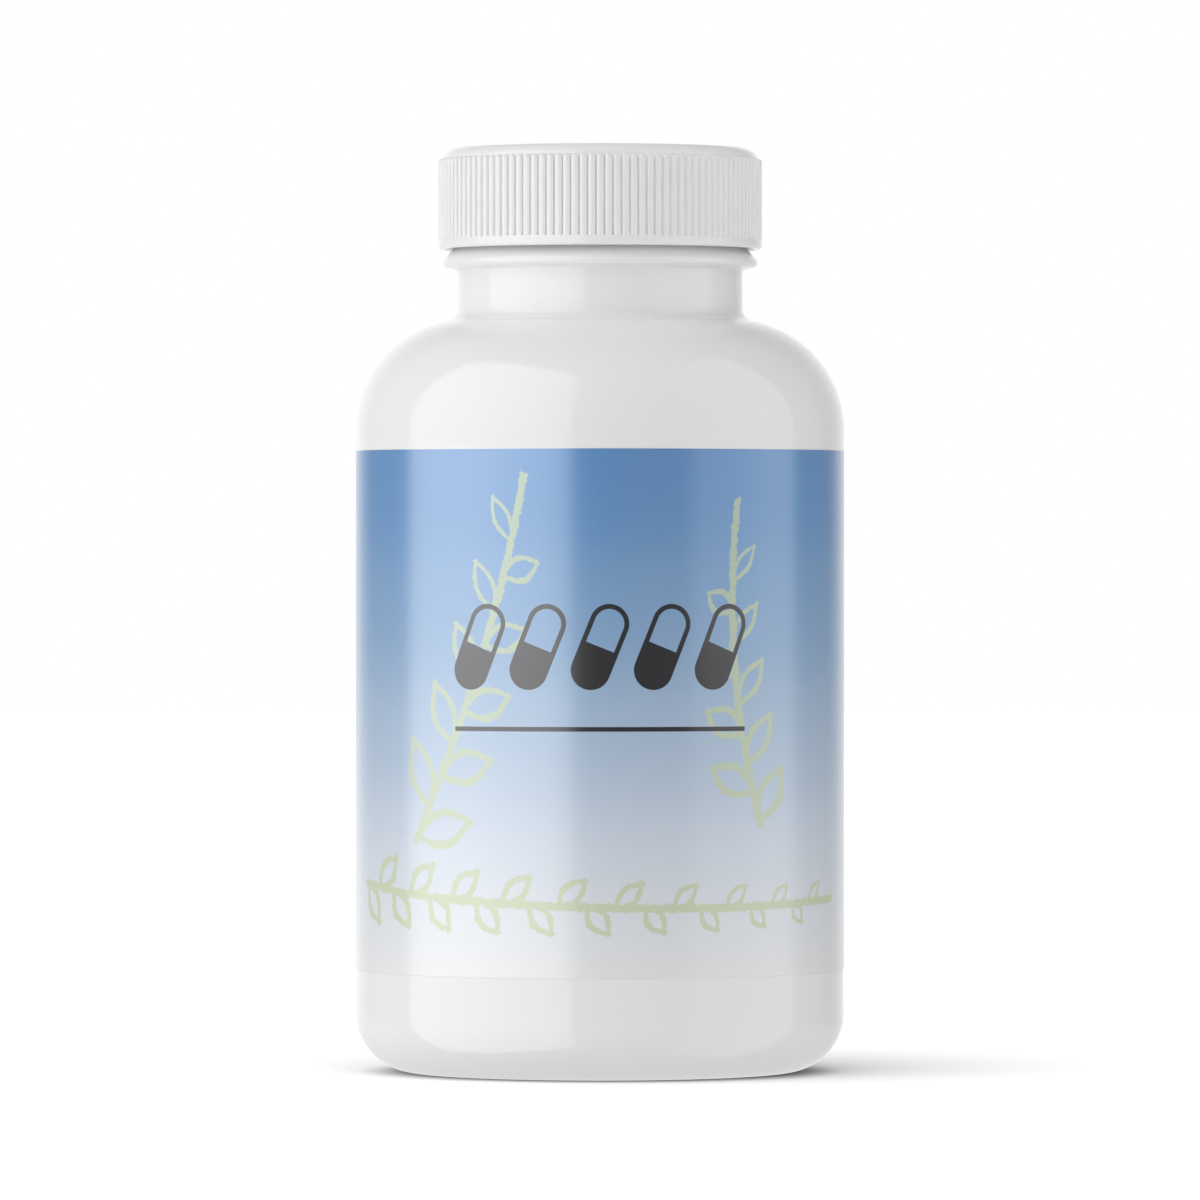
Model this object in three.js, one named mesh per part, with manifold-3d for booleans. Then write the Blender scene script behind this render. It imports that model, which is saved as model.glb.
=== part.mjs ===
// A packer bottle for capsules: a blow-moulded bottle with a threaded neck, a ribbed
// screw cap with a sealing liner, and a film label wrapped round the straight body.
// Millimetres, +Z up. The origin is the middle of the ring that the bottle stands on,
// and the front of the label faces -Y.

import * as THREE from 'three';
import { mergeVertices } from 'three/addons/utils/BufferGeometryUtils.js';
import Module from 'manifold-3d';

// Bottle body
const BODY_RADIUS = 30;
const WALL = 1;
const HEEL_RADIUS = 7.2;
const PUSH_UP_RADIUS = 20.5;
const PUSH_UP_HEIGHT = 2.2;
const SHOULDER_Z = 78.9;
const SHOULDER_RADIUS = 13.7;

// Bottle neck
const NECK_RADIUS = 17.57;
const NECK_FILLET = 1.25;
const BORE_RADIUS = 15.7;
const BORE_FILLET = 1;
const RIM_Z = 111;
const RIM_ROUND = 0.3;

// Bead under the cap: a round nose with a cone above it
const BEAD_RADIUS = 19.42;
const BEAD_Z = 99.55;
const BEAD_NOSE = 0.6;
const BEAD_CONE_DEG = 41;
const BEAD_ROOT_DROP = 0.25;

// Thread: a round ridge on the neck, and one in the cap just under it
const PITCH = 4.233;
const THREAD_START_Z = 104.5;
const THREAD_RADIUS = 18.5;
const THREAD_ROUND = 1.1;
const THREAD_TURNS = 1.1;
const CAP_THREAD_RADIUS = 17.82;
const CAP_THREAD_ROUND = 0.75;
const CAP_THREAD_TURNS = 1.3;
const CAP_THREAD_DROP = 1.85;
const THREAD_FADE_TURNS = 0.08;

// Cap
const CAP_BOTTOM_Z = 101.2;
const CAP_TOP_Z = 113.6;
const CAP_RADIUS = 19.53;
const CAP_TOP_ROUND = 1.6;
const CAP_BORE_RADIUS = 18.75;
const CAP_BORE_LEAD = 0.4;
const CAP_THREAD_ROOT = 19.15;
const CAP_TOP_WALL = 1.3;
const BAND_RADIUS = 19.97;
const BAND_HEIGHT = 1.15;
const BAND_ROUND = 0.4;
const BAND_LEDGE = 0.15;
const RIB_COUNT = 120;
const RIB_RADIUS = 19.93;
const RIB_ROOT_RADIUS = 19.3;
const RIB_TOP_Z = 112.3;
const RIB_TOP_SLOPE = 0.45;
const RIB_SINK = 0.4;
// Widths of a rib at its root and its crest, as shares of the pitch
const RIB_ROOT_SHARE = 0.72;
const RIB_CREST_SHARE = 0.34;

// Liner and label
const LINER_RADIUS = 18.2;
const LINER_THICKNESS = 0.9;
const LINER_GAP = 0.2;
const LABEL_BOTTOM_Z = 12.6;
const LABEL_TOP_Z = 76.5;
const LABEL_GAP = 0.05;
const LABEL_THICKNESS = 0.1;

// Facets round the axis. The label's facets lie on the bottle's.
const BOTTLE_FACETS = 64;
const CAP_FACETS = RIB_COUNT / 2;
const BORE_FACETS = 48;
const THREAD_STEPS_PER_TURN = 40;
const THREAD_SIDES = 8;

// How far a cutting shape runs past the face that it cuts
const OVERRUN = 1;

// Colour and roughness of each material
const BOTTLE_PLASTIC = { color: 0xf1f1f0, roughness: 0.32 };
const CAP_PLASTIC = { color: 0xf4f4f3, roughness: 0.35 };
const LABEL_FILM = { color: 0xaec3e0, roughness: 0.25 };
const LINER_FOAM = { color: 0xe8e6df, roughness: 0.7 };

const wasm = await Module();
wasm.setup();

const radians = THREE.MathUtils.degToRad;

// Points on an arc in the plane of radius and height, from one angle to another
function arc(r, z, radius, fromDeg, toDeg, steps) {
  const points = [];
  for (let i = 0; i <= steps; i += 1) {
    const angle = radians(fromDeg + (toDeg - fromDeg) * i / steps);
    points.push([r + radius * Math.cos(angle), z + radius * Math.sin(angle)]);
  }
  return points;
}

// A body of revolution round +Z. The outline runs counter-clockwise, [radius, height].
function turned(outline, facets) {
  const points = outline.map(([r, z]) => new THREE.Vector2(r, z));
  return new THREE.LatheGeometry(points, facets).rotateX(Math.PI / 2);
}

// A solid for cutting and joining: shared corners merged, and no triangle of no area
function solid(geometry) {
  const bare = geometry.clone();
  bare.deleteAttribute('normal');
  bare.deleteAttribute('uv');
  const merged = mergeVertices(bare);
  const corners = merged.index.array;
  const triVerts = [];
  for (let i = 0; i < corners.length; i += 3) {
    const [a, b, c] = corners.slice(i, i + 3);
    if (a !== b && b !== c && c !== a) {
      triVerts.push(a, b, c);
    }
  }
  return new wasm.Manifold(new wasm.Mesh({
    numProp: 3,
    vertProperties: merged.attributes.position.array,
    triVerts: new Uint32Array(triVerts),
  }));
}

function named(name, shape, finish) {
  const { vertProperties, triVerts } = shape.getMesh();
  const geometry = new THREE.BufferGeometry();
  geometry.setAttribute('position', new THREE.BufferAttribute(vertProperties, 3));
  geometry.setIndex(new THREE.BufferAttribute(triVerts, 1));
  geometry.computeVertexNormals();
  const material = new THREE.MeshStandardMaterial({ ...finish, metalness: 0 });
  const mesh = new THREE.Mesh(geometry, material);
  mesh.name = name;
  return mesh;
}

// The middle line of a thread: a right-hand helix that sinks into the wall at both ends
class ThreadCurve extends THREE.Curve {
  constructor(radius, startZ, turns, sink) {
    super();
    this.radius = radius;
    this.startZ = startZ;
    this.turns = turns;
    this.sink = sink;
  }

  getPoint(t, target = new THREE.Vector3()) {
    const toEnd = Math.min(t, 1 - t) * this.turns / THREAD_FADE_TURNS;
    const radius = this.radius + this.sink * Math.max(0, 1 - toEnd);
    const angle = 2 * Math.PI * this.turns * t;
    const height = this.startZ + PITCH * this.turns * t;
    return target.set(radius * Math.cos(angle), radius * Math.sin(angle), height);
  }
}

function thread(curve, round) {
  const section = new THREE.Shape();
  section.absarc(0, 0, round, 0, 2 * Math.PI);
  return solid(new THREE.ExtrudeGeometry(section, {
    curveSegments: THREAD_SIDES,
    steps: Math.round(THREAD_STEPS_PER_TURN * curve.turns),
    extrudePath: curve,
  }));
}

// The shoulder's dome, the fillet under the neck and the fillet inside the bore share
// the dome's centre, so both fillets' heights follow from where they touch its arc.
const domeR = BODY_RADIUS - SHOULDER_RADIUS;
const innerDome = SHOULDER_RADIUS - WALL;

function filletOn(domeRadius, fillet, filletR) {
  const apart = domeRadius + fillet;
  const across = filletR - domeR;
  const angle = THREE.MathUtils.radToDeg(Math.acos(across / apart));
  return { r: filletR, z: SHOULDER_Z + Math.sqrt(apart ** 2 - across ** 2), angle };
}

function pushUpArc(lift, steps) {
  const radius = (PUSH_UP_RADIUS ** 2 + PUSH_UP_HEIGHT ** 2) / (2 * PUSH_UP_HEIGHT);
  const half = THREE.MathUtils.radToDeg(Math.asin(PUSH_UP_RADIUS / radius));
  return arc(0, lift + PUSH_UP_HEIGHT - radius, radius, 90, 90 - half, steps);
}

function bottleOutline() {
  const heelR = BODY_RADIUS - HEEL_RADIUS;
  const outer = filletOn(SHOULDER_RADIUS, NECK_FILLET, NECK_RADIUS + NECK_FILLET);
  const inner = filletOn(innerDome, BORE_FILLET, BORE_RADIUS + BORE_FILLET);
  const noseR = BEAD_RADIUS - BEAD_NOSE;
  const nose = arc(noseR, BEAD_Z, BEAD_NOSE, -90, BEAD_CONE_DEG, 3);
  const [coneR, coneZ] = nose[nose.length - 1];
  const coneTopZ = coneZ + (coneR - NECK_RADIUS) / Math.tan(radians(BEAD_CONE_DEG));
  const outside = [
    ...pushUpArc(0, 3),
    ...arc(heelR, HEEL_RADIUS, HEEL_RADIUS, -90, 0, 5),
    ...arc(domeR, SHOULDER_Z, SHOULDER_RADIUS, 0, outer.angle, 6),
    ...arc(outer.r, outer.z, NECK_FILLET, 180 + outer.angle, 180, 2).slice(1),
    [NECK_RADIUS, BEAD_Z - BEAD_NOSE - BEAD_ROOT_DROP],
    ...nose,
    [NECK_RADIUS, coneTopZ],
    [NECK_RADIUS, RIM_Z - RIM_ROUND],
    [NECK_RADIUS - RIM_ROUND, RIM_Z],
  ];
  const inside = [
    [BORE_RADIUS + RIM_ROUND, RIM_Z],
    [BORE_RADIUS, RIM_Z - RIM_ROUND],
    ...arc(inner.r, inner.z, BORE_FILLET, 180, 180 + inner.angle, 2),
    ...arc(domeR, SHOULDER_Z, innerDome, inner.angle, 0, 4).slice(1),
    ...arc(heelR, HEEL_RADIUS, HEEL_RADIUS - WALL, 0, -90, 3),
    ...pushUpArc(WALL, 3).reverse(),
  ];
  return [...outside, ...inside];
}

function bottle() {
  const body = solid(turned(bottleOutline(), BOTTLE_FACETS));
  const middle = THREAD_RADIUS - THREAD_ROUND;
  const sink = -THREAD_ROUND / 2;
  const curve = new ThreadCurve(middle, THREAD_START_Z, THREAD_TURNS, sink);
  return body.add(thread(curve, THREAD_ROUND));
}

// The ribs as one ring with flat crests. Its valleys lie under the cap's own surface,
// its lower end in the band, and its upper end slopes in to the cap's top edge.
function ribs() {
  const pitch = 2 * Math.PI / RIB_COUNT;
  const outline = new THREE.Shape();
  const corners = [
    [-RIB_ROOT_SHARE / 2, RIB_ROOT_RADIUS],
    [-RIB_CREST_SHARE / 2, RIB_RADIUS],
    [RIB_CREST_SHARE / 2, RIB_RADIUS],
    [RIB_ROOT_SHARE / 2, RIB_ROOT_RADIUS],
  ];
  const points = [];
  for (let rib = 0; rib < RIB_COUNT; rib += 1) {
    for (const [share, radius] of corners) {
      const angle = (rib + share) * pitch;
      points.push(new THREE.Vector2(radius * Math.cos(angle), radius * Math.sin(angle)));
    }
  }
  outline.setFromPoints(points);
  const startZ = CAP_BOTTOM_Z + BAND_HEIGHT - RIB_SINK;
  const block = new THREE.ExtrudeGeometry(outline, {
    depth: RIB_TOP_Z - startZ,
    bevelEnabled: false,
  }).translate(0, 0, startZ);
  const slopedTop = turned([
    [0, startZ - OVERRUN],
    [RIB_RADIUS + RIB_TOP_SLOPE, startZ - OVERRUN],
    [RIB_RADIUS + RIB_TOP_SLOPE, RIB_TOP_Z - 2 * RIB_TOP_SLOPE],
    [RIB_RADIUS - RIB_TOP_SLOPE, RIB_TOP_Z],
    [0, RIB_TOP_Z],
  ], CAP_FACETS);
  return solid(block).intersect(solid(slopedTop));
}

function cap() {
  const bandTopZ = CAP_BOTTOM_Z + BAND_HEIGHT;
  const shell = turned([
    [0, CAP_BOTTOM_Z],
    ...arc(BAND_RADIUS - BAND_ROUND, CAP_BOTTOM_Z + BAND_ROUND, BAND_ROUND, -90, 0, 2),
    [BAND_RADIUS, bandTopZ],
    [CAP_RADIUS, bandTopZ + BAND_LEDGE],
    ...arc(CAP_RADIUS - CAP_TOP_ROUND, CAP_TOP_Z - CAP_TOP_ROUND, CAP_TOP_ROUND, 0, 90, 5),
    [0, CAP_TOP_Z],
  ], CAP_FACETS);
  const ceilingZ = CAP_TOP_Z - CAP_TOP_WALL;
  const cavity = turned([
    [0, CAP_BOTTOM_Z - OVERRUN],
    [CAP_BORE_RADIUS + CAP_BORE_LEAD, CAP_BOTTOM_Z - OVERRUN],
    [CAP_BORE_RADIUS + CAP_BORE_LEAD, CAP_BOTTOM_Z],
    [CAP_BORE_RADIUS, CAP_BOTTOM_Z + CAP_BORE_LEAD],
    [CAP_BORE_RADIUS, ceilingZ],
    [0, ceilingZ],
  ], BORE_FACETS);
  const middle = CAP_THREAD_RADIUS + CAP_THREAD_ROUND;
  const startZ = THREAD_START_Z - CAP_THREAD_DROP;
  const curve = new ThreadCurve(middle, startZ, CAP_THREAD_TURNS, CAP_THREAD_ROUND / 2);
  const threadRoom = turned([
    [0, CAP_BOTTOM_Z],
    [CAP_THREAD_ROOT, CAP_BOTTOM_Z],
    [CAP_THREAD_ROOT, ceilingZ],
    [0, ceilingZ],
  ], BORE_FACETS);
  const ridge = thread(curve, CAP_THREAD_ROUND).intersect(solid(threadRoom));
  return solid(shell).add(ribs()).subtract(solid(cavity)).add(ridge);
}

function liner() {
  const bottomZ = RIM_Z + LINER_GAP;
  return solid(turned([
    [0, bottomZ],
    [LINER_RADIUS, bottomZ],
    [LINER_RADIUS, bottomZ + LINER_THICKNESS],
    [0, bottomZ + LINER_THICKNESS],
  ], BORE_FACETS));
}

// The label covers all facets but one, so its two ends stand a facet apart at the back.
function label() {
  const innerR = BODY_RADIUS + LABEL_GAP;
  const outerR = innerR + LABEL_THICKNESS;
  const facet = 2 * Math.PI / BOTTLE_FACETS;
  const points = [];
  for (let i = 1; i <= BOTTLE_FACETS; i += 1) {
    const angle = Math.PI / 2 + i * facet;
    points.push(new THREE.Vector2(outerR * Math.cos(angle), outerR * Math.sin(angle)));
  }
  for (let i = BOTTLE_FACETS; i >= 1; i -= 1) {
    const angle = Math.PI / 2 + i * facet;
    points.push(new THREE.Vector2(innerR * Math.cos(angle), innerR * Math.sin(angle)));
  }
  const sheet = new THREE.ExtrudeGeometry(new THREE.Shape(points), {
    depth: LABEL_TOP_Z - LABEL_BOTTOM_Z,
    bevelEnabled: false,
  });
  return solid(sheet.translate(0, 0, LABEL_BOTTOM_Z));
}

const assembly = new THREE.Group();
assembly.name = 'capsule_bottle';
assembly.add(named('bottle', bottle(), BOTTLE_PLASTIC));
assembly.add(named('label', label(), LABEL_FILM));
assembly.add(named('cap_liner', liner(), LINER_FOAM));
assembly.add(named('cap', cap(), CAP_PLASTIC));

export default assembly;
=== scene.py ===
# A white plastic capsule bottle with a ribbed screw cap and a wrap label, dressed
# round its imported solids. Sizes below are in millimetres, in the solids' own frame.

import math

import bpy
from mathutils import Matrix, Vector


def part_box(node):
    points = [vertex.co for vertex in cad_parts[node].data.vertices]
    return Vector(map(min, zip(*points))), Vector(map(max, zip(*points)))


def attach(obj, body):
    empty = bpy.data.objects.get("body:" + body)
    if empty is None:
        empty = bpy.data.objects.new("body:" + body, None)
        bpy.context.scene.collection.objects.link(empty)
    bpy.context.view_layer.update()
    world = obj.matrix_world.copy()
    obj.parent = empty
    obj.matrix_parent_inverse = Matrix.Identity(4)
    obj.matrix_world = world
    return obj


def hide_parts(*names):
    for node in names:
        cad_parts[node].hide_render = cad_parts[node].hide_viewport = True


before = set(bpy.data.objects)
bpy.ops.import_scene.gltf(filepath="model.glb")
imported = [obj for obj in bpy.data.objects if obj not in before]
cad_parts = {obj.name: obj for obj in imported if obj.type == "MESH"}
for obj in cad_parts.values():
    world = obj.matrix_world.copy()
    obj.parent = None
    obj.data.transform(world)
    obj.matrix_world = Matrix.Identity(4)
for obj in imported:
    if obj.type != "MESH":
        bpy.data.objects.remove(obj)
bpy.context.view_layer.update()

MM = 0.001
SUPPORT = 0.4  # from a round edge to the ring that keeps the flat beside it flat
TOLERANCE = 0.01

# Places read from the frame
BODY_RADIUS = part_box("bottle")[1][0] / MM
RIM_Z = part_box("bottle")[1][2] / MM
LABEL_BOTTOM_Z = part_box("label")[0][2] / MM
LABEL_TOP_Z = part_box("label")[1][2] / MM
LINER_BOTTOM_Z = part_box("cap_liner")[0][2] / MM
LINER_TOP_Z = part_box("cap_liner")[1][2] / MM
LINER_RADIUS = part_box("cap_liner")[1][0] / MM
CAP_BOTTOM_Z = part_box("cap")[0][2] / MM
CAP_TOP_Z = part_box("cap")[1][2] / MM

# Bottle, as in its solid, apart from a rounder root of the neck
WALL = 1.0
HEEL_RADIUS = 7.2
PUSH_UP_RADIUS = 20.5
PUSH_UP_HEIGHT = 2.2
SHOULDER_Z = 78.9
SHOULDER_RADIUS = 13.7
NECK_RADIUS = 17.57
NECK_FILLET = 1.6
BORE_RADIUS = 15.7
BORE_FILLET = 1.0
RIM_ROUND = 0.3
BEAD_RADIUS = 19.42
BEAD_Z = 99.55
BEAD_NOSE = 0.6
BEAD_CONE_DEG = 41
BEAD_ROOT_DROP = 0.25
BEAD_ROOT_FILLET = 0.3
BOTTLE_COLUMNS = 240

# Threads, as in their solids
PITCH = 4.233
THREAD_START_Z = 104.5
THREAD_RADIUS = 18.5
THREAD_ROUND = 1.1
THREAD_TURNS = 1.1
CAP_THREAD_RADIUS = 17.82
CAP_THREAD_ROUND = 0.75
CAP_THREAD_TURNS = 1.3
CAP_THREAD_DROP = 1.85
THREAD_FADE_TURNS = 0.08

# Mould marks on the bottle: the parting line down both sides, apart from the stretch under
# the label, and the weld in the base
PARTING_HEIGHT = 0.045
PARTING_HALF_DEG = 0.35
PARTING_COLUMNS = (-1.0, -0.45, 0.45, 1.0)
PARTING_FREE_Z = (10.5, 77.5)
WELD_HEIGHT = 0.35
WELD_HALF_WIDTH = 0.5
WELD_HALF_LENGTH = 15.0
WELD_FADE = 2.0

# Cap, as in its solid, apart from a rounder top edge and rounder ribs
CAP_RADIUS = 19.54
CAP_TOP_ROUND = 1.9
CAP_BORE_RADIUS = 18.75
CAP_BORE_LEAD = 0.4
CAP_TOP_WALL = 1.3
CAP_CEILING_ROUND = 0.4
BAND_RADIUS = 19.97
BAND_HEIGHT = 1.15
BAND_TOP_Z = CAP_BOTTOM_Z + BAND_HEIGHT
BAND_ROUND = 0.4
BAND_EDGE = 0.04
RIB_COUNT = 120
RIB_PITCH = math.tau / RIB_COUNT
RIB_RADIUS = 19.93
RIB_TOP_Z = 112.38
HALF_RIB = RIB_RADIUS * RIB_PITCH / 2
FLAT_RINGS = (0.5, 3.0)  # from a round edge to the rings on the flat top and the ceiling

# A rib's height, from 1 to 0, by the share of its half width: a broad, slightly rounded
# crest, a steep flank, and half the narrow groove's floor. The cap's columns follow it.
RIB_SECTION = ((0.0, 1.0), (0.35, 0.98), (0.6, 0.88), (0.75, 0.6), (0.88, 0.0), (1.0, 0.0))

# Rows of the grip: above the band, where a groove ends, then in the middle, and in the
# rib's round upper end, as shares of its half width
GROOVE_END = 0.22
GROOVE_END_ROWS = (0.03, 0.08, 0.13, 0.18, 0.26)
GRIP_ROWS_Z = (106.0, 109.0)
RIB_END_ROWS = (0.0, 0.35, 0.6, 0.75, 0.82, 0.88, 1.0)

# Gate mark in the middle of the cap's flat top
GATE_RADIUS = 1.5
GATE_SLOPE = 0.3
GATE_DEPTH = 0.08

# Liner, with the dent that the bottle's rim has pressed into it
LINER_EDGE = 0.2
LINER_DENT = 0.1
LINER_MIDDLE = 8.0
LINER_COLUMNS = 160

# Label film, on the bottle's wall
LABEL_GAP = 0.01
LABEL_THICKNESS = 0.06
LABEL_EDGE = 0.02
LABEL_MARGIN = 0.12
LABEL_ENDS_DEG = (90.0, 95.625)
LABEL_COLUMNS = 240
LABEL_ROWS = 24


def arc(r, z, radius, from_deg, to_deg, steps):
    """Points on an arc in the plane of radius and height, from one angle to another."""
    turn = (to_deg - from_deg) / steps
    angles = [math.radians(from_deg + turn * i) for i in range(steps + 1)]
    return [(r + radius * math.cos(a), z + radius * math.sin(a)) for a in angles]


def straight(start, end, steps):
    """Points from start to end, without the two ends."""
    (from_r, from_z), (to_r, to_z) = start, end
    shares = [i / steps for i in range(1, steps)]
    return [(from_r + (to_r - from_r) * s, from_z + (to_z - from_z) * s) for s in shares]


def band(low, high):
    """Faces between two rings of corners, low first along the outline. The smaller count
    of corners divides the larger one, and a ring on the axis is one corner."""
    faces = []
    fewer, more = sorted((len(low), len(high)))
    for k in range(more if fewer == 1 else fewer):
        if len(low) == 1:
            faces.append([low[0], high[(k + 1) % len(high)], high[k]])
        elif len(high) == 1:
            faces.append([low[k], low[(k + 1) % len(low)], high[0]])
        else:
            step_low, step_high = len(low) // fewer, len(high) // fewer
            along = [low[(k * step_low + i) % len(low)] for i in range(step_low + 1)]
            back = [high[(k * step_high + i) % len(high)] for i in range(step_high + 1)]
            faces.append(along + back[::-1])
    return faces


def mesh_object(name, points, faces):
    """A smooth-shaded object with its points in millimetres."""
    mesh = bpy.data.meshes.new(name)
    mesh.from_pydata([Vector(p) * MM for p in points], [], faces)
    mesh.validate()
    mesh.polygons.foreach_set("use_smooth", [True] * len(mesh.polygons))
    thing = bpy.data.objects.new(name, mesh)
    bpy.context.scene.collection.objects.link(thing)
    return thing


def turned(name, rings, moved=lambda r, z, angle: (r, z)):
    """A closed body of revolution. A ring is (radius, height, angles in radians), and the
    rings follow the outline counter-clockwise. moved gives a corner's own radius and height."""
    points, rows = [], []
    for r, z, angles in rings:
        row = []
        for angle in angles if r > 0 else angles[:1]:
            corner_r, corner_z = moved(r, z, angle)
            row.append(len(points))
            points.append((corner_r * math.cos(angle), corner_r * math.sin(angle), corner_z))
        rows.append(row)
    faces = [face for low, high in zip(rows, rows[1:]) for face in band(low, high)]
    return mesh_object(name, points, faces)


def smooth(t):
    """0 to 1 with a soft start and end."""
    t = min(1.0, max(0.0, t))
    return t * t * (3 - 2 * t)


def height_at(x, section):
    """The height at x on the straight lines between the section's points."""
    for (near, high), (far, low) in zip(section, section[1:]):
        if x <= far:
            return high + (low - high) * (x - near) / (far - near)


def helix_distance(angle, z, start_z, turns):
    """Height above the nearest turn of a right-hand thread's middle line, and how far the
    thread has risen there, from 0 where it fades out to 1."""
    first = (angle % math.tau) / math.tau
    best = None
    for lap in range(3):
        along = first + lap
        apart = z - (start_z + PITCH * along)
        to_end = min(along, turns - along) / THREAD_FADE_TURNS
        if best is None or abs(apart) < abs(best[0]):
            best = (apart, smooth(to_end + 1) if to_end < 0 else 1.0)
    return best


def bottle_angles():
    """Even columns, and narrow ones at both sides for the parting line and the weld."""
    even = [math.tau * i / BOTTLE_COLUMNS for i in range(BOTTLE_COLUMNS)]
    half = math.radians(PARTING_HALF_DEG)
    extra = [side + half * share for side in (0.0, math.pi) for share in PARTING_COLUMNS]
    return sorted(even + [a % math.tau for a in extra])


def fillet_on(dome_radius, fillet, fillet_r):
    """Height and angle of a fillet that touches the shoulder's dome, by its middle's radius."""
    apart = dome_radius + fillet
    across = fillet_r - (BODY_RADIUS - SHOULDER_RADIUS)
    angle = math.degrees(math.acos(across / apart))
    return SHOULDER_Z + math.sqrt(apart ** 2 - across ** 2), angle


def push_up(lift, steps):
    """The base's shallow dome from the axis to its edge, lifted by the wall inside."""
    radius = (PUSH_UP_RADIUS ** 2 + PUSH_UP_HEIGHT ** 2) / (2 * PUSH_UP_HEIGHT)
    half = math.degrees(math.asin(PUSH_UP_RADIUS / radius))
    edge = arc(0, lift + PUSH_UP_HEIGHT - radius, radius, 90, 90 - half, steps)
    return [(0, lift + PUSH_UP_HEIGHT)] + edge[1:]


def bottle_outline():
    """The outline outside, from the base's middle to the rim, and inside, back down."""
    dome_r = BODY_RADIUS - SHOULDER_RADIUS
    heel_r = BODY_RADIUS - HEEL_RADIUS
    outer_r = NECK_RADIUS + NECK_FILLET
    outer_z, outer_angle = fillet_on(SHOULDER_RADIUS, NECK_FILLET, outer_r)
    inner_r = BORE_RADIUS + BORE_FILLET
    inner_dome = SHOULDER_RADIUS - WALL
    inner_z, inner_angle = fillet_on(inner_dome, BORE_FILLET, inner_r)
    nose = arc(BEAD_RADIUS - BEAD_NOSE, BEAD_Z, BEAD_NOSE, -90, BEAD_CONE_DEG, 10)
    cone_r, cone_z = nose[-1]
    cone_top = cone_z + (cone_r - NECK_RADIUS) / math.tan(math.radians(BEAD_CONE_DEG))
    root_r = NECK_RADIUS + BEAD_ROOT_FILLET
    root_z = BEAD_Z - BEAD_NOSE - BEAD_ROOT_DROP - BEAD_ROOT_FILLET
    finish_top = (NECK_RADIUS, RIM_Z - RIM_ROUND)
    heel = arc(heel_r, HEEL_RADIUS, HEEL_RADIUS, -90, 0, 22)
    dome = arc(dome_r, SHOULDER_Z, SHOULDER_RADIUS, 0, outer_angle, 30)
    outside = (
        push_up(0, 12)
        + [(PUSH_UP_RADIUS + SUPPORT, 0), (heel_r - SUPPORT, 0)]
        + heel
        + straight(heel[-1], dome[0], 12)
        + dome
        + arc(outer_r, outer_z, NECK_FILLET, 180 + outer_angle, 180, 8)[1:]
        + [(NECK_RADIUS, outer_z + SUPPORT), (NECK_RADIUS, root_z - SUPPORT / 2)]
        + arc(root_r, root_z, BEAD_ROOT_FILLET, 180, 97, 5)
        + nose
        + straight(nose[-1], (NECK_RADIUS, cone_top), 6)
        + [(NECK_RADIUS, cone_top)]
        + straight((NECK_RADIUS, cone_top), finish_top, 54)
        + arc(NECK_RADIUS - RIM_ROUND, RIM_Z - RIM_ROUND, RIM_ROUND, 0, 90, 4)
    )
    inside = (
        arc(BORE_RADIUS + RIM_ROUND, RIM_Z - RIM_ROUND, RIM_ROUND, 90, 180, 4)
        + arc(inner_r, inner_z, BORE_FILLET, 180, 180 + inner_angle, 5)
        + arc(dome_r, SHOULDER_Z, inner_dome, inner_angle, 0, 14)[1:]
        + arc(heel_r, HEEL_RADIUS, HEEL_RADIUS - WALL, 0, -90, 8)
        + push_up(WALL, 6)[::-1]
    )
    return outside, inside


def on_bottle_outside(r, z, angle):
    """The neck thread, the parting line and the weld, raised from the bottle's outside."""
    side = abs(math.atan2(math.sin(2 * angle), math.cos(2 * angle))) / 2
    if r > PUSH_UP_RADIUS and not PARTING_FREE_Z[0] < z < PARTING_FREE_Z[1]:
        ridge = max(0.0, 1 - side / math.radians(PARTING_HALF_DEG))
        return r + PARTING_HEIGHT * smooth(ridge), z
    if r <= PUSH_UP_RADIUS and z <= PUSH_UP_HEIGHT:
        across = r * math.sin(side)
        along = r * math.cos(side)
        ends = smooth((WELD_HALF_LENGTH - along) / WELD_FADE)
        raised = smooth(1 - across / WELD_HALF_WIDTH) * ends
        return r, z - WELD_HEIGHT * raised
    if z > BEAD_Z:
        apart, rise = helix_distance(angle, z, THREAD_START_Z, THREAD_TURNS)
        if abs(apart) < THREAD_ROUND:
            reach = THREAD_RADIUS - THREAD_ROUND + math.sqrt(THREAD_ROUND ** 2 - apart ** 2)
            return max(r, r + (reach - r) * rise), z
    return r, z


def make_bottle():
    """One blown shell: the thread and the mould marks are raised from its outside."""
    angles = bottle_angles()
    outside, inside = bottle_outline()
    inner_points = set(inside)

    def moved(r, z, angle):
        return (r, z) if (r, z) in inner_points else on_bottle_outside(r, z, angle)

    return turned("bottle_shell", [(r, z, angles) for r, z in outside + inside], moved)


def rib_relief(share, z):
    """How far the grip stands out there, from 0 in a groove to 1 on a crest, by the share
    of the pitch from the crest. A rib has a round upper end, and a groove runs out above
    the band."""
    past_top = max(0.0, z - (RIB_TOP_Z - HALF_RIB)) / HALF_RIB
    reach = min(1.0, math.hypot(2 * share, past_top))
    run_out = smooth(1 - (z - BAND_TOP_Z) / GROOVE_END)
    return max(height_at(reach, RIB_SECTION), run_out)


def cap_angles():
    """The cap's columns: all of them, two for each rib, and one for each rib."""
    shares = [share / 2 for share, _ in RIB_SECTION]
    columns = [-share for share in shares[:0:-1]] + shares[:-1]
    fine = [(rib + share) * RIB_PITCH for rib in range(RIB_COUNT) for share in columns]
    return fine, fine[::len(columns) // 2], fine[::len(columns)]


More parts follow.
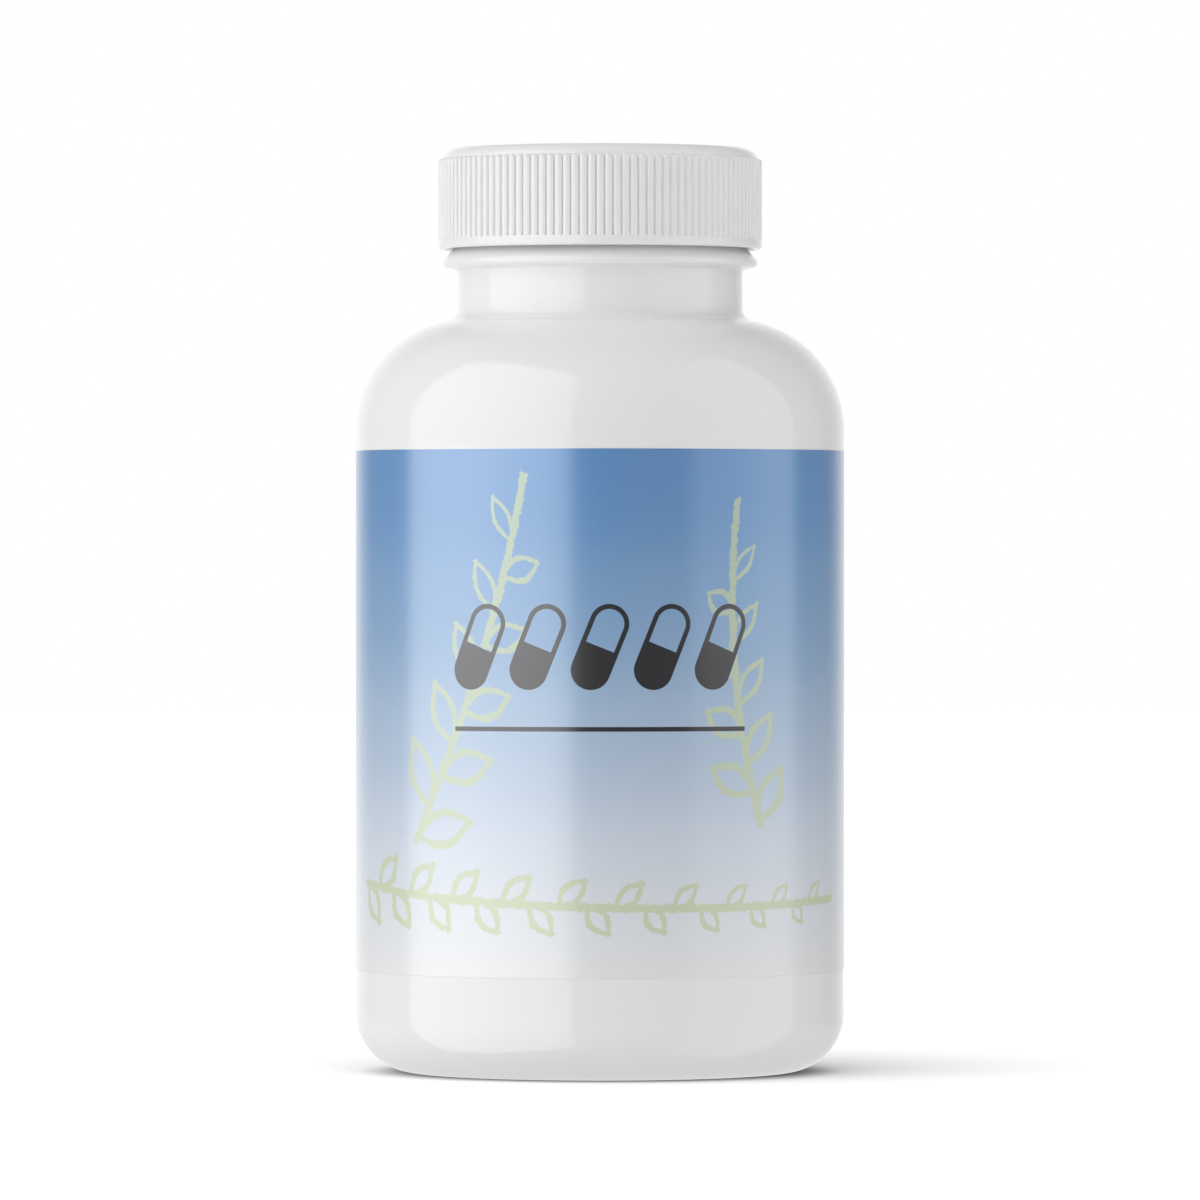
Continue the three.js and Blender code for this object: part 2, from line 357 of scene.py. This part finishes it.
def cap_outline():
    """Rings of the cap's inside from the axis to the bottom edge, and of its outside back."""
    fine, coarse, few = cap_angles()
    heights = [BAND_TOP_Z + row for row in GROOVE_END_ROWS] + list(GRIP_ROWS_Z)
    heights += [RIB_TOP_Z - HALF_RIB + HALF_RIB * share for share in RIB_END_ROWS]
    round_r, round_z = CAP_RADIUS - CAP_TOP_ROUND, CAP_TOP_Z - CAP_TOP_ROUND

    def shell_radius(z):
        above = max(0.0, z - round_z)
        return round_r + math.sqrt(CAP_TOP_ROUND ** 2 - above ** 2)

    outside = [(r, z, fine) for r, z in arc(
        BAND_RADIUS - BAND_ROUND, CAP_BOTTOM_Z + BAND_ROUND, BAND_ROUND, -90, 0, 5)]
    outside.append((BAND_RADIUS, BAND_TOP_Z - BAND_EDGE, fine))
    outside += [(shell_radius(z), z, fine) for z in heights]
    start = math.degrees(math.asin((RIB_TOP_Z - round_z) / CAP_TOP_ROUND))
    edge = arc(round_r, round_z, CAP_TOP_ROUND, start, 90, 12)
    outside += [(r, z, fine) for r, z in edge[1:]]
    near, far = FLAT_RINGS
    outside += [(round_r - near, CAP_TOP_Z, coarse), (round_r - far, CAP_TOP_Z, few)]
    gate = [(GATE_RADIUS + 2 * GATE_SLOPE, 0), (GATE_RADIUS + GATE_SLOPE, 0),
            (GATE_RADIUS, 0.3), (GATE_RADIUS - GATE_SLOPE, 1), (0, 1)]
    outside += [(r, CAP_TOP_Z - GATE_DEPTH * share, few) for r, share in gate]

    ceiling = CAP_TOP_Z - CAP_TOP_WALL
    bore_bottom = CAP_BOTTOM_Z + CAP_BORE_LEAD
    corner = arc(CAP_BORE_RADIUS - CAP_CEILING_ROUND, ceiling - CAP_CEILING_ROUND,
                 CAP_CEILING_ROUND, 90, 0, 4)
    bore = [(0, ceiling), (CAP_BORE_RADIUS - far, ceiling)] + corner
    bore += straight(corner[-1], (CAP_BORE_RADIUS, bore_bottom), 52)
    bore += [(CAP_BORE_RADIUS, bore_bottom), (CAP_BORE_RADIUS + CAP_BORE_LEAD, CAP_BOTTOM_Z)]
    return [(r, z, coarse) for r, z in bore] + outside


def make_cap():
    """One moulded shell: the ribs are raised from its outside, the thread from its bore."""
    within_wall = (CAP_BORE_RADIUS + CAP_RADIUS) / 2

    def moved(r, z, angle):
        if r > within_wall and BAND_TOP_Z < z <= RIB_TOP_Z:
            share = (angle / RIB_PITCH + 0.5) % 1 - 0.5
            return r + (RIB_RADIUS - r) * rib_relief(share, z), z
        if abs(r - CAP_BORE_RADIUS) < TOLERANCE:
            start = THREAD_START_Z - CAP_THREAD_DROP
            apart, rise = helix_distance(angle, z, start, CAP_THREAD_TURNS)
            if abs(apart) < CAP_THREAD_ROUND:
                crest = math.sqrt(CAP_THREAD_ROUND ** 2 - apart ** 2)
                reach = CAP_THREAD_RADIUS + CAP_THREAD_ROUND - crest
                return min(r, r + (reach - r) * rise), z
        return r, z

    return turned("cap_shell", cap_outline(), moved)


def make_liner():
    """The liner's disc, with rounded edges and the dent of the bottle's rim."""
    angles = [math.tau * i / LINER_COLUMNS for i in range(LINER_COLUMNS)]
    rim = (BORE_RADIUS + NECK_RADIUS) / 2
    half = (NECK_RADIUS - BORE_RADIUS) / 2
    dent = [(rim + half * s, LINER_BOTTOM_Z + LINER_DENT * smooth((1 - abs(s)) * 2))
            for s in (-1, -0.85, -0.7, -0.5, 0, 0.5, 0.7, 0.85, 1)]
    edge_r = LINER_RADIUS - LINER_EDGE
    outline = (
        [(0, LINER_BOTTOM_Z), (LINER_MIDDLE, LINER_BOTTOM_Z)]
        + dent
        + arc(edge_r, LINER_BOTTOM_Z + LINER_EDGE, LINER_EDGE, -90, 0, 4)
        + arc(edge_r, LINER_TOP_Z - LINER_EDGE, LINER_EDGE, 0, 90, 4)
        + [(LINER_MIDDLE, LINER_TOP_Z), (0, LINER_TOP_Z)]
    )
    return turned("liner_disc", [(r, z, angles) for r, z in outline])


def make_label():
    """The film as a thin closed sheet, bent round the body with its two ends at the back."""
    inner, outer = BODY_RADIUS + LABEL_GAP, BODY_RADIUS + LABEL_GAP + LABEL_THICKNESS
    start, end = (math.radians(a) for a in LABEL_ENDS_DEG)
    span = math.tau - (end - start)
    section = [(inner, LABEL_BOTTOM_Z), (outer - LABEL_EDGE, LABEL_BOTTOM_Z)]
    first, last = LABEL_BOTTOM_Z + LABEL_EDGE, LABEL_TOP_Z - LABEL_EDGE
    inner_rows = [first + (last - first) * i / LABEL_ROWS for i in range(1, LABEL_ROWS)]
    heights = [first, first + LABEL_EDGE] + inner_rows + [last - LABEL_EDGE, last]
    section += [(outer, z) for z in heights]
    section += [(outer - LABEL_EDGE, LABEL_TOP_Z), (inner, LABEL_TOP_Z)]
    points, faces = [], []
    for i in range(LABEL_COLUMNS + 1):
        angle = end + span * i / LABEL_COLUMNS
        points += [(r * math.cos(angle), r * math.sin(angle), z) for r, z in section]
    size = len(section)
    for i in range(LABEL_COLUMNS):
        for j in range(size):
            low, high = i * size + j, i * size + (j + 1) % size
            faces.append([low, low + size, high + size, high])
    faces.append(list(range(size)))
    faces.append([LABEL_COLUMNS * size + j for j in range(size)][::-1])
    return mesh_object("label_film", points, faces)


# Materials

NOISE_MIDDLE = (0.3, 0.7)  # where nearly all of a noise's values lie

# Noise scales, in spots to the metre, and heights of the fine relief, in metres
CLOUDS = 45.0
GLOSS_CLOUDS = 160.0
BOTTLE_GRAIN = 700.0
CAP_GRAIN = 900.0
GRAIN_HEIGHT = 0.000002
FILM_CLOUDS = 200.0
FILM_GRAIN = 900.0
FILM_GRAIN_HEIGHT = 0.0000015
CHALK_CRUMBS = 1500.0
CHALK_GRAIN = 5200.0
FOAM_CELLS = 2600.0
CELL_DEPTH = 0.00004

# Plastics, varnish and foam. The matt top's depth is in mm.
SPECULAR_LEVEL = 0.3
PLASTIC_ROUGHNESS = (0.075, 0.105)
BOTTLE_WHITES = ((0.86, 0.862, 0.865), (0.875, 0.875, 0.873))
CAP_WHITES = ((0.865, 0.867, 0.87), (0.88, 0.88, 0.878))
MATT_DEPTH = 0.1
MATT_ROUGHER = 0.8
FOAM = (0.86, 0.85, 0.81)
PORE = (0.78, 0.77, 0.72)
FOAM_ROUGHNESS = (0.62, 0.78)
FILM_ROUGHNESS = (0.2, 0.23)
COAT_ROUGHNESS = 0.21
COAT_IOR = 2.0
VARNISH_TOP = 0.58
VARNISH_BOTTOM = 0.2

# The label's ground from its top edge to its bottom edge, and its inks, in linear colour
GROUND = (
    (0.0, (0.116, 0.280, 0.555)),
    (0.2, (0.172, 0.335, 0.585)),
    (0.44, (0.322, 0.458, 0.645)),
    (0.68, (0.555, 0.640, 0.755)),
    (1.0, (0.820, 0.828, 0.839)),
)
CHALK = (0.56, 0.63, 0.33)
INK = (0.028, 0.028, 0.032)
FILM_EDGE = (0.90, 0.88, 0.83)
PRINT_EDGE = 0.04  # half the soft edge of a printed shape, in mm

# The label's motifs, in mm round the bottle from the front and in height. A twig has a root,
# a lean in degrees, a bend, a reach, a leaf's length and half width, and a spacing.
TWIGS = (
    ((-25.0, 29.0), 60, 0.004, 46.0, (9.0, 2.0), 8.4),
    ((21.0, 31.0), 108, -0.006, 38.0, (7.5, 1.7), 7.2),
    ((-37.0, 23.5), -6, 0.0011, 73.0, (5.6, 1.4), 7.0),
)
LEAF_TILT_DEG = 48
LEAF_START = 0.08  # from its foot on the stem, as a share of the spacing
LAST_LEAF = 0.9  # from its foot to the tip at least, as a share of the spacing
TIP_SIZE = 0.5
CHALK_HALF_WIDTH = 0.5
CHALK_EDGE = 0.12
CHALK_CRUMBLE = 0.9
CHALK_THICKEST = 0.7
CAPSULES_Z = 52.5
CAPSULE_COUNT = 5
CAPSULE_SPACING = 7.6
CAPSULE_HALF_LENGTH = 5.4
CAPSULE_RADIUS = 2.4
CAPSULE_LEAN_DEG = 68
CAPSULE_LINE = 0.6
RULE_Z = 42.6
RULE_HALF_LENGTH = 18.6
RULE_HALF_WIDTH = 0.28


class Field:
    """A number that varies over a surface, as a node's output. Its sums make math nodes."""

    def __init__(self, tree, socket):
        self.tree = tree
        self.socket = socket

    def math(self, operation, *others):
        node = self.tree.nodes.new("ShaderNodeMath")
        node.operation = operation
        for slot, value in zip(node.inputs, (self, *others)):
            if isinstance(value, Field):
                self.tree.links.new(value.socket, slot)
            else:
                slot.default_value = value
        return Field(self.tree, node.outputs[0])

    def __add__(self, other):
        return self.math("ADD", other)

    def __sub__(self, other):
        return self.math("SUBTRACT", other)

    def __mul__(self, other):
        return self.math("MULTIPLY", other)

    def __truediv__(self, other):
        return self.math("DIVIDE", other)

    def abs(self):
        return self.math("ABSOLUTE")

    def within(self, width, edge):
        """1 where this is under width, with a soft edge."""
        node = self.tree.nodes.new("ShaderNodeMapRange")
        node.interpolation_type = "SMOOTHSTEP"
        for name, value in (("From Min", width + edge), ("From Max", width - edge)):
            node.inputs[name].default_value = value
        self.tree.links.new(self.socket, node.inputs["Value"])
        return Field(self.tree, node.outputs["Result"])


def new_material(name):
    """A material with one Principled shader, and its tree."""
    material = bpy.data.materials.new(name)
    material.use_nodes = True
    tree = material.node_tree
    shader = next(n for n in tree.nodes if n.type == "BSDF_PRINCIPLED")
    return material, tree, shader


def object_point(tree):
    """The point on the surface, in metres in the piece's own frame."""
    return tree.nodes.new("ShaderNodeTexCoord").outputs["Object"]


def noise(tree, vector, scale, detail=3.0):
    """Noise with scale spots to the metre."""
    node = tree.nodes.new("ShaderNodeTexNoise")
    node.inputs["Scale"].default_value = scale
    node.inputs["Detail"].default_value = detail
    tree.links.new(vector, node.inputs["Vector"])
    return Field(tree, node.outputs["Fac"])


def spread(tree, field, low, high):
    """The middle part of the field, spread from low to high."""
    node = tree.nodes.new("ShaderNodeMapRange")
    node.inputs["From Min"].default_value = NOISE_MIDDLE[0]
    node.inputs["From Max"].default_value = NOISE_MIDDLE[1]
    node.inputs["To Min"].default_value = low
    node.inputs["To Max"].default_value = high
    tree.links.new(field.socket, node.inputs["Value"])
    return Field(tree, node.outputs["Result"])


def bump(tree, shader, field, distance):
    """The field as fine relief, up to distance high."""
    node = tree.nodes.new("ShaderNodeBump")
    node.inputs["Distance"].default_value = distance
    node.inputs["Strength"].default_value = 1.0
    tree.links.new(field.socket, node.inputs["Height"])
    tree.links.new(node.outputs["Normal"], shader.inputs["Normal"])


def mixed(tree, field, low, high):
    """A colour between low and high by the field. Each is a colour or a colour's socket."""
    node = tree.nodes.new("ShaderNodeMix")
    node.data_type = "RGBA"
    tree.links.new(field.socket, node.inputs[0])
    for slot, value in ((node.inputs[6], low), (node.inputs[7], high)):
        if isinstance(value, bpy.types.NodeSocket):
            tree.links.new(value, slot)
        else:
            slot.default_value = (*value, 1.0)
    return node.outputs[2]


def white_plastic(name, whites, grain, matt_top_z=None):
    """Moulded plastic: faint clouds in its colour and gloss, and a very fine surface grain.
    A flat top at the height matt_top_z is matt."""
    material, tree, shader = new_material(name)
    point = object_point(tree)
    clouds = noise(tree, point, CLOUDS)
    tree.links.new(mixed(tree, clouds, *whites), shader.inputs["Base Color"])
    rough = spread(tree, noise(tree, point, GLOSS_CLOUDS), *PLASTIC_ROUGHNESS)
    if matt_top_z:
        axes = tree.nodes.new("ShaderNodeSeparateXYZ")
        tree.links.new(point, axes.inputs[0])
        below = Field(tree, axes.outputs["Z"]) / -MM + matt_top_z
        rough = rough + below.within(MATT_DEPTH, MATT_DEPTH / 5) * MATT_ROUGHER
    tree.links.new(rough.socket, shader.inputs["Roughness"])
    bump(tree, shader, noise(tree, point, grain), GRAIN_HEIGHT)
    shader.inputs["Specular IOR Level"].default_value = SPECULAR_LEVEL
    return material


def liner_foam():
    """Pale foam with fine closed cells."""
    material, tree, shader = new_material("liner_foam")
    point = object_point(tree)
    cells = tree.nodes.new("ShaderNodeTexVoronoi")
    cells.inputs["Scale"].default_value = FOAM_CELLS
    tree.links.new(point, cells.inputs["Vector"])
    pores = Field(tree, cells.outputs["Distance"])
    tree.links.new(mixed(tree, pores, FOAM, PORE), shader.inputs["Base Color"])
    rough = spread(tree, pores, *FOAM_ROUGHNESS)
    tree.links.new(rough.socket, shader.inputs["Roughness"])
    bump(tree, shader, pores, CELL_DEPTH)
    return material


def fill_ramp(ramp, stops):
    """Stops are places from 0 to 1 with their colours. The first is at 0."""
    elements = ramp.color_ramp.elements
    elements[1].position = stops[-1][0]
    for place, _ in stops[1:-1]:
        elements.new(place)
    for element, (_, colour) in zip(elements, stops):
        element.color = (*colour, 1.0)


def print_ground(tree, down):
    """Blue at the top fading to near white at the bottom."""
    ramp = tree.nodes.new("ShaderNodeValToRGB")
    ramp.color_ramp.interpolation = "CARDINAL"
    fill_ramp(ramp, GROUND)
    tree.links.new(down.socket, ramp.inputs["Fac"])
    return ramp.outputs["Color"]


def twig(u, v, root, lean_deg, bend, reach, leaf, every):
    """Distance in mm to a twig's lines: a bent stem from its root, and pointed leaves in
    outline on its two sides by turns, smaller towards the tip."""
    length, half_width = leaf
    lean, tilt = math.radians(lean_deg), math.radians(LEAF_TILT_DEG)
    du, dv = u - root[0], v - root[1]
    along = du * math.cos(lean) + dv * math.sin(lean)
    off = dv * math.cos(lean) - du * math.sin(lean) - along * along * bend
    stagger = off.math("GREATER_THAN", 0.0) * 0.5
    foot = (along / every + stagger).math("FLOOR") - stagger
    local = along - (foot + LEAF_START) * every
    size = along * ((TIP_SIZE - 1) / reach) + 1.0
    out = (local * math.cos(tilt) + off.abs() * math.sin(tilt)) / size
    across = (off.abs() * math.cos(tilt) - local * math.sin(tilt)) / size
    share = (out / length).math("MAXIMUM", 0.0).math("MINIMUM", 1.0)
    edge = (across.abs() - (share * math.pi).math("SINE") * half_width).abs()
    past_leaf = (out - length / 2).abs() - length / 2
    past_stem = (along - reach / 2).abs() - reach / 2
    last_foot = reach / every - LAST_LEAF
    far = 100  # so that a leaf past the stem's ends is left out whole
    past_row = ((foot - last_foot / 2).abs() - last_foot / 2) * far
    leaves = edge.math("MAXIMUM", past_leaf).math("MAXIMUM", past_row)
    return leaves.math("MINIMUM", off.abs().math("MAXIMUM", past_stem))


def capsules(u, v):
    """A row of leaning capsules: 1 inside the lower half of each and on its outline."""
    lean = math.radians(CAPSULE_LEAN_DEG)
    row = u / CAPSULE_SPACING + CAPSULE_COUNT / 2
    du = (row - row.math("FLOOR") - 0.5) * CAPSULE_SPACING
    dv = v - CAPSULES_Z
    along = du * math.cos(lean) + dv * math.sin(lean)
    off = dv * math.cos(lean) - du * math.sin(lean)
    past = (along.abs() - (CAPSULE_HALF_LENGTH - CAPSULE_RADIUS)).math("MAXIMUM", 0.0)
    distance = (past * past + off * off).math("SQRT") - CAPSULE_RADIUS
    inside = distance.within(0.0, PRINT_EDGE)
    outline = (distance + CAPSULE_LINE / 2).abs().within(CAPSULE_LINE / 2, PRINT_EDGE)
    filled = outline.math("MAXIMUM", inside * along.within(0.0, PRINT_EDGE))
    in_row = (row - CAPSULE_COUNT / 2).abs().within(CAPSULE_COUNT / 2, 0.01)
    return filled * in_row


def chalk_twigs(tree, point, u, v):
    """How much chalk lies there: the twigs' lines with a crumbly edge and a grainy face."""
    lines = twig(u, v, *TWIGS[0])
    for values in TWIGS[1:]:
        lines = lines.math("MINIMUM", twig(u, v, *values))
    crumbs = noise(tree, point, CHALK_CRUMBS, 4.0)
    grain = noise(tree, point, CHALK_GRAIN, 2.0)
    crumbled = lines + (crumbs - 0.5) * CHALK_CRUMBLE
    drawn = crumbled.within(CHALK_HALF_WIDTH, CHALK_EDGE)
    return drawn * (grain * 0.9 + 0.25).math("MINIMUM", CHALK_THICKEST)


def label_print():
    """The printed film: a faded ground, chalk-drawn twigs, and a row of capsules over a rule."""
    material, tree, shader = new_material("label_film")
    point = object_point(tree)
    axes = tree.nodes.new("ShaderNodeSeparateXYZ")
    tree.links.new(point, axes.inputs[0])
    x, y, z = (Field(tree, socket) for socket in axes.outputs)
    u = x.math("ARCTAN2", y * -1.0) * BODY_RADIUS
    v = z / MM
    down = (v * -1.0 + LABEL_TOP_Z) / (LABEL_TOP_Z - LABEL_BOTTOM_Z)
    ground = print_ground(tree, down)
    drawn = mixed(tree, chalk_twigs(tree, point, u, v), ground, CHALK)

    rule = (v - RULE_Z).abs().within(RULE_HALF_WIDTH, PRINT_EDGE)
    rule = rule * u.abs().within(RULE_HALF_LENGTH, PRINT_EDGE)
    inked = mixed(tree, rule.math("MAXIMUM", capsules(u, v)), drawn, INK)
    margin = (v * -1.0 + LABEL_TOP_Z).within(LABEL_MARGIN, PRINT_EDGE / 2)
    tree.links.new(mixed(tree, margin, inked, FILM_EDGE), shader.inputs["Base Color"])

    rough = spread(tree, noise(tree, point, FILM_CLOUDS), *FILM_ROUGHNESS)
    tree.links.new(rough.socket, shader.inputs["Roughness"])
    bump(tree, shader, noise(tree, point, FILM_GRAIN), FILM_GRAIN_HEIGHT)
    shader.inputs["Specular IOR Level"].default_value = SPECULAR_LEVEL
    shader.inputs["Coat Roughness"].default_value = COAT_ROUGHNESS
    shader.inputs["Coat IOR"].default_value = COAT_IOR
    varnish = down * (VARNISH_BOTTOM - VARNISH_TOP) + VARNISH_TOP
    tree.links.new(varnish.socket, shader.inputs["Coat Weight"])
    return material


bottle = make_bottle()
cap = make_cap()
liner = make_liner()
label = make_label()

# Each piece with its body, the node that it replaces, its slot and its material
DRESSED = (
    (bottle, "bottle", "bottle", "bottle_plastic",
     white_plastic("bottle_plastic", BOTTLE_WHITES, BOTTLE_GRAIN)),
    (label, "bottle", "label", "label_film", label_print()),
    (liner, "liner", "cap_liner", "liner_foam", liner_foam()),
    (cap, "cap", "cap", "cap_plastic",
     white_plastic("cap_plastic", CAP_WHITES, CAP_GRAIN, CAP_TOP_Z)),
)
for piece, body, node, slot, material in DRESSED:
    piece.data.materials.append(material)
    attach(piece, body)
    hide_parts(node)


# The studio. The camera is placed in millimetres, the lights and the floor in metres.

CAMERA_DISTANCE = 1238.0
CAMERA_HEIGHT = 62.6
CAMERA_LENS = 301.5
CAMERA_TILT_DEG = 0.211

# The room's greys by direction, for diffuse and for glossy light
ROOM = {"left": 0.9, "right": 0.3, "front": 0.02, "back": 0.8, "above": 0.75, "below": 0.62}
GLOSS = {"left": 0.25, "right": 0.25, "front": 0.02, "back": 1.0, "above": 0.15, "below": 0.8}

# Each panel's azimuth, distance, ends and heights, then its radiance and its profile
LEFT_PANEL = (-54.5, 0.5, (-0.50, 0.44), (-0.70, 0.945))
RIGHT_PANEL = (72.0, 0.5, (-0.28, 0.285), (-0.80, 0.905))
SOFT_SHAPE = (0.6, (-0.2, 0.2), (-0.3, 0.7))
LEFT_PROFILE = ((0.0, 0.66), (0.2, 0.88), (0.45, 1.0), (0.8, 0.93), (1.0, 0.73))
RIGHT_PROFILE = ((0.0, 0.54), (0.33, 0.58), (0.67, 1.0), (1.0, 0.97))
EVEN = ((0.0, 1.0), (1.0, 1.0))
PANELS = (
    ("gloss_left", *LEFT_PANEL, 2.88, LEFT_PROFILE, "glossy"),
    ("gloss_right", *RIGHT_PANEL, 1.18, RIGHT_PROFILE, "glossy"),
    ("soft_left", -75, *SOFT_SHAPE, 1.55, EVEN, "diffuse"),
    ("soft_right", 30, *SOFT_SHAPE, 1.38, EVEN, "diffuse"),
)

FLOOR_HALF = 3.0
FLOOR_DROP = 0.00002
FLOOR_GLOW = 1.26
FLOOR_LIGHT_FROM = (-0.3, -0.4, 0.866)
FLOOR_SHADOW_REACH = 0.3


def make_camera():
    """The photo's view: level with the body, from far off with a long lens."""
    data = bpy.data.cameras.new("camera")
    data.lens = CAMERA_LENS
    data.sensor_width = 36.0
    camera = bpy.data.objects.new("camera", data)
    camera.location = (0, -CAMERA_DISTANCE * MM, CAMERA_HEIGHT * MM)
    camera.rotation_euler = (math.radians(90 - CAMERA_TILT_DEG), 0, 0)
    bpy.context.scene.collection.objects.link(camera)
    bpy.context.scene.camera = camera


def panel(name, azimuth, distance, ends, heights, radiance, profile, seen):
    """An upright light panel that faces the bottle. azimuth is in degrees from the camera's
    side towards the right. ends are the panel's two edges, as lengths along it from that
    azimuth, and profile gives shares of its radiance from the one to the other. seen says
    whether it is for diffuse or for glossy light."""
    data = bpy.data.lights.new(name, "AREA")
    data.shape = "RECTANGLE"
    data.size = ends[1] - ends[0]
    data.size_y = heights[1] - heights[0]
    data.energy = radiance * math.pi * data.size * data.size_y
    light = bpy.data.objects.new(name, data)
    turn = math.radians(azimuth)
    middle = sum(ends) / 2
    light.location = (distance * math.sin(turn) + middle * math.cos(turn),
                      middle * math.sin(turn) - distance * math.cos(turn), sum(heights) / 2)
    light.rotation_euler = (math.radians(90), 0, turn)
    light.visible_camera = False
    light.visible_diffuse = seen == "diffuse"
    light.visible_glossy = seen == "glossy"
    bpy.context.scene.collection.objects.link(light)
    data.use_nodes = True
    tree = data.node_tree
    emission = next(n for n in tree.nodes if n.type == "EMISSION")
    axes = tree.nodes.new("ShaderNodeSeparateXYZ")
    on_panel = tree.nodes.new("ShaderNodeNewGeometry").outputs["Parametric"]
    tree.links.new(on_panel, axes.inputs[0])
    ramp = tree.nodes.new("ShaderNodeValToRGB")
    fill_ramp(ramp, [(place, (share, share, share)) for place, share in profile])
    tree.links.new(axes.outputs[0], ramp.inputs["Fac"])
    tree.links.new(ramp.outputs["Color"], emission.inputs["Strength"])


def by_direction(tree, axes, colours):
    """The room's colour by direction: left to right, with its own ones in front, at the
    back, above and below. A step runs between two values of the direction's x, y or z."""
    def step(axis, low, high):
        node = tree.nodes.new("ShaderNodeMapRange")
        node.interpolation_type = "SMOOTHSTEP"
        node.inputs["From Min"].default_value = low
        node.inputs["From Max"].default_value = high
        tree.links.new(axes.outputs[axis], node.inputs["Value"])
        return Field(tree, node.outputs["Result"])

    grey = {place: (value, value, value) for place, value in colours.items()}
    side = mixed(tree, step(0, -0.9, 0.9), grey["left"], grey["right"])
    with_front = mixed(tree, step(1, -0.5, -0.85), side, grey["front"])
    with_back = mixed(tree, step(1, 0.7, 1.0), with_front, grey["back"])
    with_top = mixed(tree, step(2, 0.2, 0.95), with_back, grey["above"])
    return mixed(tree, step(2, 0.0, -0.25), with_top, grey["below"])


def make_world(room, gloss):
    """White to the camera, and a greyer room to the bottle, for diffuse and glossy light."""
    world = bpy.data.worlds.new("studio")
    world.use_nodes = True
    bpy.context.scene.world = world
    tree = world.node_tree
    background = next(n for n in tree.nodes if n.type == "BACKGROUND")
    path = tree.nodes.new("ShaderNodeLightPath")
    axes = tree.nodes.new("ShaderNodeSeparateXYZ")
    tree.links.new(tree.nodes.new("ShaderNodeTexCoord").outputs["Generated"], axes.inputs[0])
    by_ray = mixed(tree, Field(tree, path.outputs["Is Glossy Ray"]),
                   by_direction(tree, axes, room), by_direction(tree, axes, gloss))
    shown = mixed(tree, Field(tree, path.outputs["Is Camera Ray"]), by_ray, (1.0, 1.0, 1.0))
    tree.links.new(shown, background.inputs["Color"])


def make_floor():
    """A white floor that glows by itself and is darker only where the bottle keeps the
    room's light off it, most of it from above and from the left. The bottle gets its
    light from below from the room."""
    half = FLOOR_HALF
    corners = [(-half, -half, 0), (half, -half, 0), (half, half, 0), (-half, half, 0)]
    mesh = bpy.data.meshes.new("floor")
    mesh.from_pydata(corners, [], [(0, 1, 2, 3)])
    floor = bpy.data.objects.new("floor", mesh)
    bpy.context.scene.collection.objects.link(floor)
    floor.location.z = -FLOOR_DROP
    floor.visible_glossy = False
    floor.visible_diffuse = False
    floor.visible_shadow = False
    material, tree, shader = new_material("floor_white")
    shader.inputs["Base Color"].default_value = (0.0, 0.0, 0.0, 1.0)
    shader.inputs["Specular IOR Level"].default_value = 0.0
    shader.inputs["Emission Color"].default_value = (1.0, 1.0, 1.0, 1.0)
    towards = tree.nodes.new("ShaderNodeCombineXYZ")
    for axis, value in zip("XYZ", FLOOR_LIGHT_FROM):
        towards.inputs[axis].default_value = value
    open_sky = tree.nodes.new("ShaderNodeAmbientOcclusion")
    open_sky.samples = 16
    open_sky.inputs["Distance"].default_value = FLOOR_SHADOW_REACH
    tree.links.new(towards.outputs["Vector"], open_sky.inputs["Normal"])
    glow = Field(tree, open_sky.outputs["AO"]) * FLOOR_GLOW
    tree.links.new(glow.socket, shader.inputs["Emission Strength"])
    floor.data.materials.append(material)


make_camera()
make_world(ROOM, GLOSS)
make_floor()
for panel_values in PANELS:
    panel(*panel_values)

scene = bpy.context.scene
scene.view_settings.view_transform = "Standard"
scene.view_settings.look = "None"
